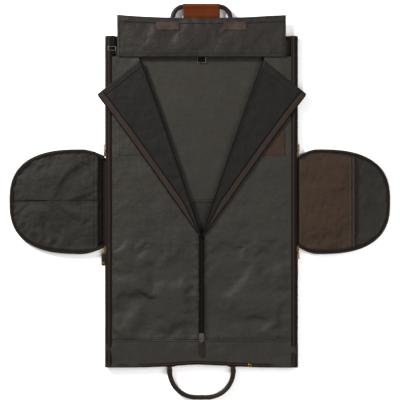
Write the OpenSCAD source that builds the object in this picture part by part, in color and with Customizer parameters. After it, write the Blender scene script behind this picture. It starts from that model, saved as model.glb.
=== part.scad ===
/* [Main panel] */
// Width of the panel between its zipped side edges
panel_w = 562; // [500:1:660]
// Length of the panel from top edge to bottom edge
panel_l = 978; // [860:1:1160]
// Length of the base section between the two fold lines
base_l = 260; // [230:1:310]
// Thickness of the outer shell with its bonded interlining
shell_t = 4; // [3:0.1:6]
// Thickness of the lining
lining_t = 1.2; // [0.8:0.1:2]
// Thickness of the front covers and lapels
cover_t = 1.5; // [1:0.1:2.5]
// Packing space between the lining and the covers
pack_h = 7.8; // [6:0.1:20]
// Thickness of the stiffener board in the base
board_t = 2.2; // [1:0.1:2.6]

/* [Front opening] */
// Distance of each lapel fold from the centre line at the top
fold_x = 183; // [150:1:215]
// Distance from the covers' top edge down to the lapels' top edge
lapel_drop = 11; // [5:1:40]
// Depth of the opening's point below the panel's middle
apex_drop = 110; // [90:1:125]
// Half the space between the lapels' zipped edges at the top when closed
lapel_gap = 22; // [10:1:40]
// Depth of the strip at each end that lies beyond the garment space
end_strip = 83; // [60:1:100]
// Width of each side closure strip
side_strip = 16; // [10:1:24]

/* [Top flap] */
// Width of the flap
flap_w = 496; // [430:1:540]
// Length of the flap from its seam to its free edge
flap_l = 118; // [90:1:140]
// Width of a hook and loop patch
patch_w = 66; // [40:1:90]
// Height of a hook and loop patch
patch_h = 24; // [15:1:30]

/* [End caps] */
// Depth of an end cap from its hinge to its crown
cap_depth = 273; // [230:1:320]
// Greatest half width of an end cap
cap_half = 151; // [135:1:175]
// Width of the end cap's rim
rim_w = 7; // [5:0.5:12]
// Depth of an end cap
cap_h = 14.5; // [12:0.5:20]

/* [Handles] */
// Thickness of a rolled handle
handle_d = 14; // [10:0.5:18]
// Distance that a handle reaches past the panel's edge
handle_reach = 96; // [80:1:120]
// Half the distance between the top handle's legs
top_legs = 85; // [70:1:110]
// Half the distance between the bottom handle's legs
bottom_legs = 94; // [80:1:120]
// Wall of the leather grip
grip_t = 1.5; // [1:0.1:2.5]
// Width of the leather grip
grip_w = 108; // [80:1:112]

/* [Hardware] */
// Length of a zip slider
slider_l = 14; // [10:1:20]
// Diameter of a pull's pin
pin_d = 2; // [1.5:0.1:3]
// Wire thickness of the rings
wire_d = 2.5; // [2:0.1:4]

/* [Clearances] */
// Space between pieces that move past each other
clear = 0.3; // [0.2:0.05:0.6]
// Running clearance round a pin, on the radius
pin_clear = 0.1; // [0.05:0.01:0.2]
// Space between the covers and the lapels
lapel_lift = 0.5; // [0.3:0.1:1.5]

/* [Hidden] */
$fn = 48;

half_w = panel_w / 2;
half_l = panel_l / 2;
half_b = base_l / 2;
lining_z = shell_t;
pack_z = lining_z + lining_t;
cover_z = pack_z + pack_h;
cover_top = cover_z + cover_t;
lapel_z = cover_top + lapel_lift;
lapel_axis_z = (cover_top + lapel_z) / 2;
handle_z = handle_d / 2 + grip_t;
flap_z = max(lapel_z + cover_t, handle_z + handle_d / 2) + 0.5;
flap_y = half_l - end_strip + 25;
flap_t = cover_t;
covers_end = half_l - end_strip;
covers_top = flap_y - 3;
lapel_top = covers_top - lapel_drop;
inner_gap = 5;
shell_skin = shell_t - board_t;
board_margin = 12;
board_gap = 0.2;
zip_w = 4;
zip_h = 1.2;
pocket_t = 0.4;
post_t = 1.2;
row_h = 3;
row_w = 3;
row_drop = 5.5;
row_z = cover_z - row_drop;
tab_w = 34;
tab_l = 60;
tab_t = 1.4;
handle_y = half_l + handle_d / 2 + 1.5;
grip_back = half_l + handle_reach - handle_d / 2 - grip_t;
hinge_x = half_w + 2.5;
cap_x = half_w + 5.3;
cap_root_half = half_b + 1;
flare = 64;
cap_power = 2.65;
panel_t = 1.2;
mouth_left = 18;
pocket_right = 170;

// A point mirrored across the line from a to b.
function mirrored(p, a, b) = let (u = (b - a) / norm(b - a), v = p - a) a + 2 * (u * v) * u - v;

fold_top = [-fold_x, lapel_top];
fold_apex = [0, -apex_drop];
// Height at which the fold line reaches a distance x from the centre line.
function fold_height(x) = -apex_drop + x * (lapel_top + apex_drop) / fold_x;
// Distance from the centre line that the fold has at a height y.
function fold_at(y) = fold_x * (y + apex_drop) / (lapel_top + apex_drop);

closed_lapel = [fold_top, [-lapel_gap, lapel_top], [-inner_gap, fold_height(inner_gap)]];
open_lapel = [for (p = closed_lapel) mirrored(p, fold_top, fold_apex)];

// Half the width of an end cap's outline at a depth d from its hinge, drawn in by an inset.
function cap_width(d, inset) =
  let (reach = cap_depth - flare, u = (d - flare) / (reach - inset))
  d < flare
    ? cap_root_half + (cap_half - cap_root_half) * sin(90 * d / flare) - inset
    : (cap_half - inset) * pow(max(0, 1 - pow(min(u, 1), cap_power)), 1 / cap_power);

// Depths along the outline, closer together towards the crown.
function cap_depths(start, inset) =
  let (reach = cap_depth - flare - inset)
  concat(
    [for (i = [0 : 3]) start + (flare - start) * i / 4],
    [for (i = [0 : 14]) flare + reach * pow(sin(90 * i / 14), 0.9)]
  );

module cap_outline(start, inset) {
  depths = cap_depths(start, inset);
  last = len(depths) - 1;
  polygon(concat(
    [for (d = depths) [d, cap_width(d, inset)]],
    [for (i = [last - 1 : -1 : 0]) [depths[i], -cap_width(depths[i], inset)]]
  ));
}

module slab(x0, x1, y0, y1, z0, z1) {
  translate([x0, y0, z0]) cube([x1 - x0, y1 - y0, z1 - z0]);
}

module plate(z, t) {
  translate([0, 0, z]) linear_extrude(t) children();
}

module both_sides() {
  children();
  mirror([1, 0, 0]) children();
}

module at_cap(side) {
  mirror([side < 0 ? 1 : 0, 0, 0]) translate([cap_x, 0, 0]) children();
}

// The end of each panel section nearest the base, clear of the fold line.
edge = half_b + clear;

module tab_shapes(legs, sy, grow) {
  for (sx = [-1, 1])
    translate([sx * legs, sy * (half_l - tab_l / 2), tab_t / 2])
      cube([tab_w + 2 * grow, tab_l + 2 * grow, tab_t + 2 * grow], center = true);
}

module base_shell() {
  recess = board_margin - board_gap;
  color("#3c3834") difference() {
    slab(-half_w, half_w, -half_b + clear, half_b - clear, 0, shell_t);
    slab(-half_w + recess, half_w - recess, -half_b + recess, half_b - recess, shell_skin, shell_t + 1);
  }
}

module base_board() {
  x = half_w - board_margin;
  y = half_b - board_margin;
  color("#6b5a46") slab(-x, x, -y, y, shell_skin, shell_t);
}

module base_lining() {
  color("#3e3b36") slab(-half_w, half_w, -half_b + clear, half_b - clear, lining_z, pack_z);
}

module cover_base(side) {
  x = fold_at(half_b - clear);
  color("#3b3833") mirror([side > 0 ? 1 : 0, 0, 0]) plate(cover_z, cover_t) polygon([
    [-half_w, -half_b + clear], [-inner_gap, -half_b + clear], [-inner_gap, fold_height(inner_gap)],
    [-x, half_b - clear], [-half_w, half_b - clear]
  ]);
}

module cover_left_base() cover_base(-1);
module cover_right_base() cover_base(1);

module base_side_strips() {
  color("#2c2320") both_sides()
    slab(half_w - side_strip, half_w, -half_b + clear, half_b - clear, pack_z, cover_z);
}

module zip_rows(y0, y1) {
  for (sx = [-1, 1])
    translate([sx * (post_t / 2 + clear + zip_w / 2), (y0 + y1) / 2, cover_z + zip_h / 2])
      cube([zip_w - clear, y1 - y0, zip_h], center = true);
}

module centre_zip_base() {
  color("#26211e") zip_rows(-half_b + clear, fold_height(inner_gap));
}

module centre_zip_lower() {
  color("#26211e") zip_rows(-covers_end, -edge);
}

module upper_shell() {
  color("#3c3834") difference() {
    slab(-half_w, half_w, edge, half_l, 0, shell_t);
    tab_shapes(top_legs, 1, 0.2);
  }
}

module upper_lining() {
  color("#3e3b36") slab(-half_w, half_w, edge, half_l, lining_z, pack_z);
}

module cover_upper(side) {
  color("#3b3833") mirror([side > 0 ? 1 : 0, 0, 0]) plate(cover_z, cover_t) polygon([
    [-half_w, edge], [-fold_at(edge), edge], [-fold_x, lapel_top], [-fold_x, covers_top],
    [-half_w, covers_top]
  ]);
}

module cover_left_upper() cover_upper(-1);
module cover_right_upper() cover_upper(1);

module cover_pockets() {
  color("#42362c") both_sides()
    plate(cover_top, pocket_t) translate([half_w - 35 - 96, half_b + 7]) square([96, 96]);
}

module side_zips_upper() {
  color("#2c2320") both_sides() union() {
    slab(half_w - side_strip, half_w, edge, half_l, pack_z, cover_z);
    slab(half_w - 1, half_w + row_w, edge, half_l, row_z, row_z + row_h);
  }
}

module side_zips_lower() {
  mirror([0, 1, 0]) side_zips_upper();
}

module flap_seam_tape() {
  x = flap_w / 2 - 2;
  color("#2c2825") slab(-x, x, flap_y + 0.5, flap_y + 6.5, pack_z, flap_z - 0.4);
}

module top_binding() {
  x = flap_w / 2 - 2;
  color("#2c2320") slab(-x, x, half_l - 14, half_l, pack_z, flap_z - 0.4);
}

module bottom_facing() {
  color("#3a3732") slab(-half_w, half_w, -half_l, -covers_end - clear, cover_z, cover_top);
}

module bottom_binding() {
  inner = half_w - side_strip;
  color("#2c2320") slab(-inner, inner, -half_l, -half_l + 14, pack_z, cover_z);
}

module lower_shell() {
  color("#3c3834") difference() {
    slab(-half_w, half_w, -half_l, -edge, 0, shell_t);
    tab_shapes(bottom_legs, -1, 0.2);
  }
}

module lower_lining() {
  color("#3e3b36") slab(-half_w, half_w, -half_l, -edge, lining_z, pack_z);
}

module cover_left_lower() {
  color("#3b3833") slab(-half_w, -inner_gap, -covers_end, -edge, cover_z, cover_top);
}

module cover_right_lower() {
  color("#3b3833") slab(inner_gap, half_w, -covers_end, -edge, cover_z, cover_top);
}

module top_handle_tabs() {
  color("#2c1d16") tab_shapes(top_legs, 1, 0);
}

module bottom_handle_tabs() {
  color("#2c1d16") tab_shapes(bottom_legs, -1, 0);
}

// An open lapel cut at the upper fold line; part is 1 above the line and -1 below it.
module lapel(side, part) {
  size = panel_l;
  color("#292723") mirror([side > 0 ? 1 : 0, 0, 0]) plate(lapel_z, cover_t) intersection() {
    offset(delta = -clear) polygon(open_lapel);
    translate([-size, part > 0 ? edge : half_b - clear - size]) square([2 * size, size]);
  }
}

module lapel_left_upper() lapel(-1, 1);
module lapel_left_lower() lapel(-1, -1);
module lapel_right_upper() lapel(1, 1);
module lapel_right_lower() lapel(1, -1);

module top_flap() {
  color("#36322f") slab(-flap_w / 2, flap_w / 2, flap_y + 0.5, flap_y + flap_l, flap_z, flap_z + flap_t);
}

module flap_patches() {
  color("#45392f") both_sides()
    translate([patch_w, flap_y + flap_l - patch_h - 21, flap_z + flap_t]) cube([patch_w, patch_h, 0.8]);
}

module cap_shell(side) {
  color("#3b3833") at_cap(side) linear_extrude(shell_t) cap_outline(1, 0);
}

module cap_rim(side) {
  color("#2c2320") at_cap(side) translate([0, 0, shell_t]) linear_extrude(cap_h - shell_t) difference() {
    cap_outline(1, 0);
    cap_outline(-20, rim_w);
  }
}

module cap_panel(side, from, to, z) {
  at_cap(side) translate([0, 0, z]) linear_extrude(panel_t) intersection() {
    cap_outline(1, rim_w + clear);
    translate([from, -cap_half]) square([to - from, 2 * cap_half]);
  }
}

panel_z = cap_h - panel_t - 1.3;

module cap_left_shell() cap_shell(-1);
module cap_right_shell() cap_shell(1);
module cap_left_rim() cap_rim(-1);
module cap_right_rim() cap_rim(1);
module cap_left_pocket() color("#3c3934") cap_panel(-1, mouth_left, cap_depth, panel_z);
module cap_right_lining() color("#373430") cap_panel(1, 2, cap_depth, shell_t);
module cap_right_pocket() color("#3e342c") cap_panel(1, 2, pocket_right, panel_z);

// A rolled handle: two legs, two rounded corners and a straight back.
module handle_loop(legs, corner, sy) {
  back = sy > 0 ? grip_back : grip_back + grip_t;
  mirror([0, sy > 0 ? 0 : 1, 0]) union() {
    translate([corner - legs, back, handle_z]) rotate([0, 90, 0])
      cylinder(d = handle_d, h = 2 * (legs - corner));
    for (side = [0, 1]) mirror([side, 0, 0]) {
      translate([legs - corner, back - corner, handle_z]) rotate_extrude(angle = 90)
        translate([corner, 0]) circle(d = handle_d);
      translate([legs, handle_y, handle_z]) rotate([-90, 0, 0])
        cylinder(d = handle_d, h = back - corner - handle_y);
      translate([legs, handle_y, handle_z]) sphere(d = handle_d);
    }
  }
}

module top_handle() {
  color("#2c1d16") handle_loop(top_legs, 30, 1);
}

module bottom_handle() {
  color("#2c1d16") handle_loop(bottom_legs, 70, -1);
}

module handle_grip() {
  back = grip_back;
  tongue = 38;
  color("#8a4418") difference() {
    union() {
      translate([-grip_w / 2, back, handle_z]) rotate([0, 90, 0])
        cylinder(d = handle_d + 2 * grip_t, h = grip_w);
      slab(-grip_w / 2, grip_w / 2, back - tongue, back, handle_z - 2, handle_z + 2);
    }
    translate([-grip_w, back, handle_z]) rotate([0, 90, 0]) cylinder(d = handle_d + 0.02, h = 2 * grip_w);
  }
}

slider_y = -covers_end + 6;
plate_z = cover_top + clear;
slider_plate_t = 1.2;
eye_wall = 0.8;
link_z = plate_z + slider_plate_t + clear + pin_d / 2 + pin_clear + eye_wall;

module centre_slider() {
  color("#9a9a98") translate([0, slider_y, 0]) {
    slab(-7, 7, -12, 12, plate_z, plate_z + slider_plate_t);
    slab(-post_t / 2, post_t / 2, 0, 6, cover_z - 1, plate_z + 0.5);
    slab(-6, 6, -10, 10, cover_z - 2, cover_z - clear);
    for (sx = [-1, 1])
      slab(sx * 3.5 - 0.7, sx * 3.5 + 0.7, -11, -6, plate_z + 1, link_z + 1.8);
    translate([-3.5, -8.5, link_z]) rotate([0, 90, 0]) cylinder(d = pin_d, h = 7);
  }
}

module centre_pull_link() {
  color("#b9b9b4") translate([0, slider_y - 8.5, link_z]) difference() {
    union() {
      translate([-2.4, 0, 0]) rotate([0, 90, 0]) cylinder(r = pin_d / 2 + pin_clear + eye_wall, h = 4.8);
      slab(-2.4, 2.4, -16, 0, -0.9, 0.9);
    }
    translate([-5, 0, 0]) rotate([0, 90, 0]) cylinder(r = pin_d / 2 + pin_clear, h = 10);
  }
}

module centre_pull_leather() {
  color("#2f211a") translate([0, slider_y - 8.5, link_z]) difference() {
    slab(-6.5, 6.5, -46, -7, -1.8, 1.8);
    slab(-2.45, 2.45, -16.05, 0, -0.95, 0.95);
  }
}

side_slider_y = half_b + 10;
slider_x = half_w + clear;
pull_y = side_slider_y + slider_l / 2 + 3;
pull_z = row_z + row_h / 2;

// A slider that rides on a side zip's row of teeth, drawn at the right upper corner.
module side_slider() {
  color("#b8912f") difference() {
    union() {
      slab(slider_x, slider_x + 7, side_slider_y - slider_l / 2, side_slider_y + slider_l / 2,
        row_z - 2.5, row_z + row_h + 2.5);
      slab(half_w + row_w + clear, half_w + row_w + clear + 1.2, side_slider_y + slider_l / 2 - 1,
        pull_y + 1.8, pull_z - 1.8, pull_z + 1.8);
      translate([half_w + row_w + clear, pull_y, pull_z]) rotate([0, 90, 0]) cylinder(d = pin_d, h = 5.4);
    }
    slab(slider_x - 1, half_w + row_w + clear, side_slider_y - slider_l, side_slider_y + slider_l,
      row_z - clear, row_z + row_h + clear);
  }
}

// A pull with an eye round the slider's pin, reaching a length away from the base.
module side_pull(reach) {
  x = half_w + row_w + clear + 1.7;
  translate([x, pull_y, pull_z]) difference() {
    union() {
      rotate([0, 90, 0]) cylinder(r = pin_d / 2 + pin_clear + 0.9, h = 3.2);
      slab(0, 3.2, 0, reach, -0.8, 0.8);
    }
    translate([-5, 0, 0]) rotate([0, 90, 0]) cylinder(r = pin_d / 2 + pin_clear, h = 10);
  }
}

module slider_right_upper() side_slider();
module slider_left_upper() mirror([1, 0, 0]) side_slider();
module slider_right_lower() mirror([0, 1, 0]) side_slider();
module slider_left_lower() mirror([1, 0, 0]) mirror([0, 1, 0]) side_slider();
module pull_right_upper() color("#b8912f") side_pull(20);
module pull_left_upper() color("#b8912f") mirror([1, 0, 0]) side_pull(20);
module pull_right_lower() color("#b8912f") mirror([0, 1, 0]) side_pull(20);
module pull_left_lower_eye() color("#b8912f") mirror([1, 0, 0]) mirror([0, 1, 0]) side_pull(12);

module pull_left_lower_tab() {
  x = half_w + row_w + clear + 1.7;
  color("#2f211a") mirror([1, 0, 0]) mirror([0, 1, 0]) translate([x, pull_y, pull_z]) difference() {
    slab(-1.7, 8.5, 4, 38, -1.8, 1.8);
    slab(-0.05, 3.25, 0, 12.05, -0.85, 0.85);
  }
}

// A rectangular wire ring lying flat, with its hinge bar on the X axis and its body towards -Y.
module wire_ring(w, l) {
  for (y = [0, -l]) translate([-w / 2, y, 0]) rotate([0, 90, 0]) cylinder(d = wire_d, h = w);
  for (sx = [-1, 1]) translate([sx * w / 2, -l, 0]) rotate([-90, 0, 0]) cylinder(d = wire_d, h = l);
  for (sx = [-1, 1]) for (y = [0, -l]) translate([sx * w / 2, y, 0]) sphere(d = wire_d);
}

// A webbing tab whose end loops round a ring's hinge bar.
module ring_tab(w, l, z) {
  bore = wire_d / 2 + pin_clear;
  difference() {
    union() {
      rotate([0, 90, 0]) translate([0, 0, -w / 2]) cylinder(r = bore + 1, h = w);
      slab(-w / 2, w / 2, 0, l, -z, 1.5 - z);
      slab(-w / 2, w / 2, 0, bore + 1, -z, 0);
    }
    rotate([0, 90, 0]) translate([0, 0, -w]) cylinder(r = bore, h = 2 * w);
  }
}

hanger_y = flap_y - 2.4;
hanger_w = 24;
hanger_l = 15;
hanger_z = pack_z + 2.6;
corner_x = -half_w + side_strip + 1;
corner_y = half_l - 32;
corner_w = 22;
corner_l = 11;
corner_z = cover_z + 2.6;

module hanger_tab() {
  color("#1f1c1a") translate([0, hanger_y - 3, hanger_z]) ring_tab(hanger_w - 6, 5.5, hanger_z - pack_z);
}

module hanger_ring() {
  color("#c9c9c4") translate([0, hanger_y - 3, hanger_z]) wire_ring(hanger_w, hanger_l);
}

module corner_strap() {
  color("#2c1d16") translate([corner_x, corner_y, corner_z])
    ring_tab(corner_w - 5, half_l - corner_y, corner_z - cover_z);
}

module corner_ring() {
  color("#c9c9c4") translate([corner_x, corner_y, corner_z]) wire_ring(corner_w, corner_l);
}

base_shell();
base_board();
base_lining();
cover_left_base();
cover_right_base();
base_side_strips();
centre_zip_base();
upper_shell();
upper_lining();
cover_left_upper();
cover_right_upper();
cover_pockets();
side_zips_upper();
flap_seam_tape();
top_binding();
hanger_tab();
corner_strap();
top_handle_tabs();
lower_shell();
lower_lining();
cover_left_lower();
cover_right_lower();
side_zips_lower();
centre_zip_lower();
bottom_facing();
bottom_binding();
bottom_handle_tabs();
lapel_left_upper();
lapel_left_lower();
lapel_right_upper();
lapel_right_lower();
top_flap();
flap_patches();
cap_left_shell();
cap_left_rim();
cap_left_pocket();
cap_right_shell();
cap_right_rim();
cap_right_lining();
cap_right_pocket();
top_handle();
handle_grip();
bottom_handle();
centre_slider();
centre_pull_link();
centre_pull_leather();
slider_left_upper();
slider_left_lower();
slider_right_upper();
slider_right_lower();
pull_left_upper();
pull_left_lower_eye();
pull_left_lower_tab();
pull_right_upper();
pull_right_lower();
hanger_ring();
corner_ring();
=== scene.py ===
"""Garment bag laid open: the soft skin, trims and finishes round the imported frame."""
import math

import bmesh
import bpy
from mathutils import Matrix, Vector, noise
from mathutils.bvhtree import BVHTree

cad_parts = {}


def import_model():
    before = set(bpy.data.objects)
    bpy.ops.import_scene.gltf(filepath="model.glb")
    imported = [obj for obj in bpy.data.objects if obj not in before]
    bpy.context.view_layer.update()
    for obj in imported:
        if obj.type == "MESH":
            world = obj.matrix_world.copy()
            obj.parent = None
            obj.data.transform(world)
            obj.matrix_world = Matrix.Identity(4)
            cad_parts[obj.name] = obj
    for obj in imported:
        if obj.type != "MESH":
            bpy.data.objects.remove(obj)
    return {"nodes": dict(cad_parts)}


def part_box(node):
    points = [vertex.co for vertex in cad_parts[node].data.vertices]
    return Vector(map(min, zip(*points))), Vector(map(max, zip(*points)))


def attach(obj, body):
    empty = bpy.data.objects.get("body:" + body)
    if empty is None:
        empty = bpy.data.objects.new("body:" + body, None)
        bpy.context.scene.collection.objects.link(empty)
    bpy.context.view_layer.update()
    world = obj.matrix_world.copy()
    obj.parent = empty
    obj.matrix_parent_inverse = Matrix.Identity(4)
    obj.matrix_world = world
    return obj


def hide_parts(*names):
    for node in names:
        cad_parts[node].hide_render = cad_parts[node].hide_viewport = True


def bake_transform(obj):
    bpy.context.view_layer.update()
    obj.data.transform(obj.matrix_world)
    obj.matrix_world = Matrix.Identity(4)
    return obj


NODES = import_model()["nodes"]
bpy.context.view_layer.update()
MM = 0.001


def size_of(node):
    """A node's low and high corners in millimetres."""
    low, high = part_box(node)
    return Vector(low) / MM, Vector(high) / MM


# ------------ sizes, in millimetres
HALF_W, HALF_L = size_of("upper_shell")[1].x, size_of("upper_shell")[1].y
LINING_Z = size_of("upper_lining")[1].z
COVER_Z = size_of("cover_left_upper")[1].z
LAPEL_Z = size_of("lapel_left_upper")[1].z
FLAP_LOW, FLAP_HIGH = size_of("top_flap")
COVERS_END = size_of("cover_left_lower")[0].y
COVERS_TOP = size_of("cover_left_upper")[1].y
FACING_LOW, FACING_HIGH = size_of("bottom_facing")
CAP_LOW, CAP_HIGH = size_of("cap_right_shell")

FOLD = 130.0            # the folds between the base and the upper and lower sections, from the centre
ZONE = (126.0, 148.0)   # where the cloth bends at those folds
APEX = -110.0           # the foot of the front's opening
LAPEL_TOP = 417.0
FOLD_X = 183.0          # half the opening's width at the lapels' top
ZIP_GAP = 5.0
COVER_THICK = 1.1
SEAM_ALLOWANCE = 1.5    # how far the outer cloth stops short of the panel's edge


# ------------ camera, floor, light
CAMERA_PLACE = (-0.0044, 0.0049, 3.0)
VIEW_SPAN = 1.185
SENSOR = 36.0
WORLD_STRENGTH = 0.42

camera_data = bpy.data.cameras.new("camera")
camera_data.sensor_width = SENSOR
camera_data.lens = SENSOR * CAMERA_PLACE[2] / VIEW_SPAN
camera_data.clip_end = 50
camera = bpy.data.objects.new("camera", camera_data)
camera.location = CAMERA_PLACE
bpy.context.scene.collection.objects.link(camera)
bpy.context.scene.camera = camera

bpy.context.scene.view_settings.view_transform = "Standard"
world = bpy.data.worlds.new("studio")
bpy.context.scene.world = world
world.use_nodes = True
background = world.node_tree.nodes["Background"]
background.inputs["Color"].default_value = (1, 1, 1, 1)
background.inputs["Strength"].default_value = WORLD_STRENGTH


def area_light(name, place, target, size, power):
    data = bpy.data.lights.new(name, "AREA")
    data.shape = "DISK"
    data.size = size
    data.energy = power
    lamp = bpy.data.objects.new(name, data)
    lamp.location = place
    lamp.rotation_euler = (Vector(target) - Vector(place)).to_track_quat("-Z", "Y").to_euler()
    bpy.context.scene.collection.objects.link(lamp)


area_light("key", (-2.0, 1.9, 1.35), (0, 0, 0), 0.7, 215)
area_light("side", (2.3, 0.5, 2.0), (0, 0, 0), 1.4, 46)
area_light("foot", (0.6, -2.3, 2.4), (0, -0.1, 0), 1.6, 46)


# ------------ materials
LIGHT_LEVEL = 1.95


def linear(r, g, b):
    """The surface colour that shows as these 0 to 255 display values under the studio's light."""
    return tuple(((c / 255 + 0.055) / 1.055) ** 2.4 / LIGHT_LEVEL for c in (r, g, b))


class Shader:
    """A principled material built from a chain of procedural nodes."""

    def __init__(self, name, rough, metallic=0.0, specular=0.5):
        self.material = bpy.data.materials.new(name)
        self.material.use_nodes = True
        self.tree = self.material.node_tree
        self.shader = self.tree.nodes["Principled BSDF"]
        self.shader.inputs["Roughness"].default_value = rough
        self.shader.inputs["Metallic"].default_value = metallic
        self.shader.inputs["Specular IOR Level"].default_value = specular
        self.coords = self.add("ShaderNodeTexCoord").outputs["Object"]

    def add(self, kind, **settings):
        node = self.tree.nodes.new(kind)
        for key, value in settings.items():
            setattr(node, key, value)
        return node

    def link(self, a, b):
        self.tree.links.new(a, b)

    def stretched(self, scale, rotation=(0, 0, 0)):
        node = self.add("ShaderNodeMapping")
        node.inputs["Scale"].default_value = scale
        node.inputs["Rotation"].default_value = rotation
        self.link(self.coords, node.inputs["Vector"])
        return node.outputs["Vector"]

    def noise(self, scale, detail=3, rough=0.55, vector=None):
        node = self.add("ShaderNodeTexNoise")
        node.inputs["Scale"].default_value = scale
        node.inputs["Detail"].default_value = detail
        node.inputs["Roughness"].default_value = rough
        self.link(vector or self.coords, node.inputs["Vector"])
        return node.outputs["Fac"]

    def wave(self, pitch, direction, distort=0.0):
        """Bands with a pitch in millimetres across one object axis."""
        node = self.add("ShaderNodeTexWave", wave_type="BANDS", bands_direction=direction)
        node.inputs["Scale"].default_value = 1000 * math.pi / 10 / pitch
        node.inputs["Distortion"].default_value = distort
        node.inputs["Detail"].default_value = 1
        node.inputs["Detail Scale"].default_value = 2
        self.link(self.coords, node.inputs["Vector"])
        return node.outputs["Fac"]

    def math(self, operation, a, b):
        node = self.add("ShaderNodeMath", operation=operation)
        for socket, value in zip(node.inputs, (a, b)):
            if isinstance(value, (int, float)):
                socket.default_value = value
            else:
                self.link(value, socket)
        return node.outputs[0]

    def ramp(self, factor, low, high, dark, light):
        node = self.add("ShaderNodeValToRGB")
        node.color_ramp.elements[0].position = low
        node.color_ramp.elements[1].position = high
        node.color_ramp.elements[0].color = (*dark, 1)
        node.color_ramp.elements[1].color = (*light, 1)
        self.link(factor, node.inputs["Fac"])
        return node.outputs["Color"]

    def tint(self, factor, low, high, colour, down, up):
        """The colour made darker by the share down and lighter by the share up as the factor rises."""
        return self.ramp(factor, low, high, shade(colour, 1 - down), shade(colour, 1 + up))

    def mix(self, factor, a, b):
        node = self.add("ShaderNodeMix", data_type="RGBA", blend_type="MIX")
        node.inputs["Factor"].default_value = factor
        self.link(a, node.inputs[6])
        self.link(b, node.inputs[7])
        return node.outputs[2]

    def colour(self, output):
        self.link(output, self.shader.inputs["Base Color"])

    def roughness(self, factor, low, high):
        node = self.add("ShaderNodeMapRange")
        node.inputs["To Min"].default_value = low
        node.inputs["To Max"].default_value = high
        self.link(factor, node.inputs["Value"])
        self.link(node.outputs[0], self.shader.inputs["Roughness"])

    def bump(self, heights):
        """heights is a list of (output, strength, distance in millimetres), finest last."""
        normal = None
        for output, strength, distance in heights:
            node = self.add("ShaderNodeBump")
            node.inputs["Strength"].default_value = strength
            node.inputs["Distance"].default_value = distance * MM
            self.link(output, node.inputs["Height"])
            if normal:
                self.link(normal, node.inputs["Normal"])
            normal = node.outputs["Normal"]
        self.link(normal, self.shader.inputs["Normal"])


def shade(colour, factor):
    return tuple(min(1.0, c * factor) for c in colour)


def fabric(name, colour, pitch=1.1, contrast=0.4, rough=0.55, creases=1.0, bump=0.5, diagonal=False):
    """Woven cloth: crossing yarns, slubs along the weft, a heathered colour, wear and pressed creases."""
    s = Shader(name, rough=rough, specular=0.09)
    warp = s.wave(pitch, "DIAGONAL" if diagonal else "X", 0.6)
    weft = s.wave(pitch, "Y", 0.6)
    weave = s.math("MULTIPLY", warp, weft)
    heather = s.noise(190, 4, 0.75)
    slub = s.noise(42, 4, 0.7, s.stretched((1.0, 6.0, 1.0)))
    ends = s.noise(60, 3, 0.6, s.stretched((5.0, 0.8, 1.0)))
    patches = s.noise(9, 4, 0.6)
    fine = s.tint(heather, 0.34, 0.68, colour, 1.5 * contrast, 1.5 * contrast)
    yarn = s.tint(slub, 0.3, 0.72, colour, contrast, contrast)
    thread = s.tint(ends, 0.3, 0.72, colour, contrast, contrast)
    broad = s.tint(patches, 0.3, 0.7, colour, 0.18, 0.18)
    s.colour(s.mix(0.35, s.mix(0.4, s.mix(0.5, fine, yarn), thread), broad))
    s.roughness(patches, rough - 0.1, rough + 0.1)
    soft = s.noise(11, 3, 0.5, s.stretched((1.0, 1.5, 1.0), (0, 0, 0.5)))
    pressed = s.noise(17, 2, 0.4, s.stretched((1.6, 0.7, 1.0), (0, 0, -0.7)))
    ridge = s.math("ABSOLUTE", s.math("SUBTRACT", pressed, 0.5), 0.0)
    small = s.noise(34, 4, 0.55)
    s.bump([(soft, 0.9 * creases, 16.0), (ridge, 0.7 * creases, 9.0), (small, 0.5 * creases, 3.0),
            (slub, 0.25, 0.6), (weave, bump, 0.25)])
    return s.material


def leather(name, colour, rough, specular):
    """Pebbled leather with pores, darker hollows and worn lighter patches."""
    s = Shader(name, rough=rough, specular=specular)
    cells = s.add("ShaderNodeTexVoronoi", feature="DISTANCE_TO_EDGE")
    cells.inputs["Scale"].default_value = 260
    s.link(s.coords, cells.inputs["Vector"])
    pores = cells.outputs["Distance"]
    wear = s.noise(24, 4, 0.6)
    grainy = s.tint(pores, 0.0, 0.3, colour, 0.35, 0.0)
    worn = s.tint(wear, 0.3, 0.75, colour, 0.25, 0.35)
    s.colour(s.mix(0.5, grainy, worn))
    s.roughness(wear, rough - 0.08, rough + 0.14)
    s.bump([(s.noise(60, 3, 0.5), 0.3, 0.8), (pores, 0.35, 0.4)])
    return s.material


def metal(name, colour, rough):
    """Polished metal with fine scratches and slight tarnish."""
    s = Shader(name, rough=rough, metallic=1.0)
    tarnish = s.noise(90, 4, 0.6)
    scratch = s.noise(300, 2, 0.5, s.stretched((1, 14, 1)))
    s.colour(s.tint(tarnish, 0.25, 0.7, colour, 0.28, 0.1))
    s.roughness(scratch, rough - 0.08, rough + 0.16)
    s.bump([(scratch, 0.08, 0.1)])
    return s.material


def tape(name, colour, pitch=1.6, axis="Y"):
    """Ribbed tape or webbing: strong ribs and a faint lengthwise yarn."""
    s = Shader(name, rough=0.7, specular=0.05)
    ribs = s.wave(pitch, axis, 0.3)
    fuzz = s.noise(420, 3, 0.6)
    ribbed = s.tint(ribs, 0.2, 0.8, colour, 0.4, 0.25)
    s.colour(s.mix(0.5, ribbed, s.tint(fuzz, 0.3, 0.7, colour, 0.25, 0.25)))
    s.bump([(fuzz, 0.2, 0.3), (ribs, 0.6, 0.5)])
    return s.material


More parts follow.
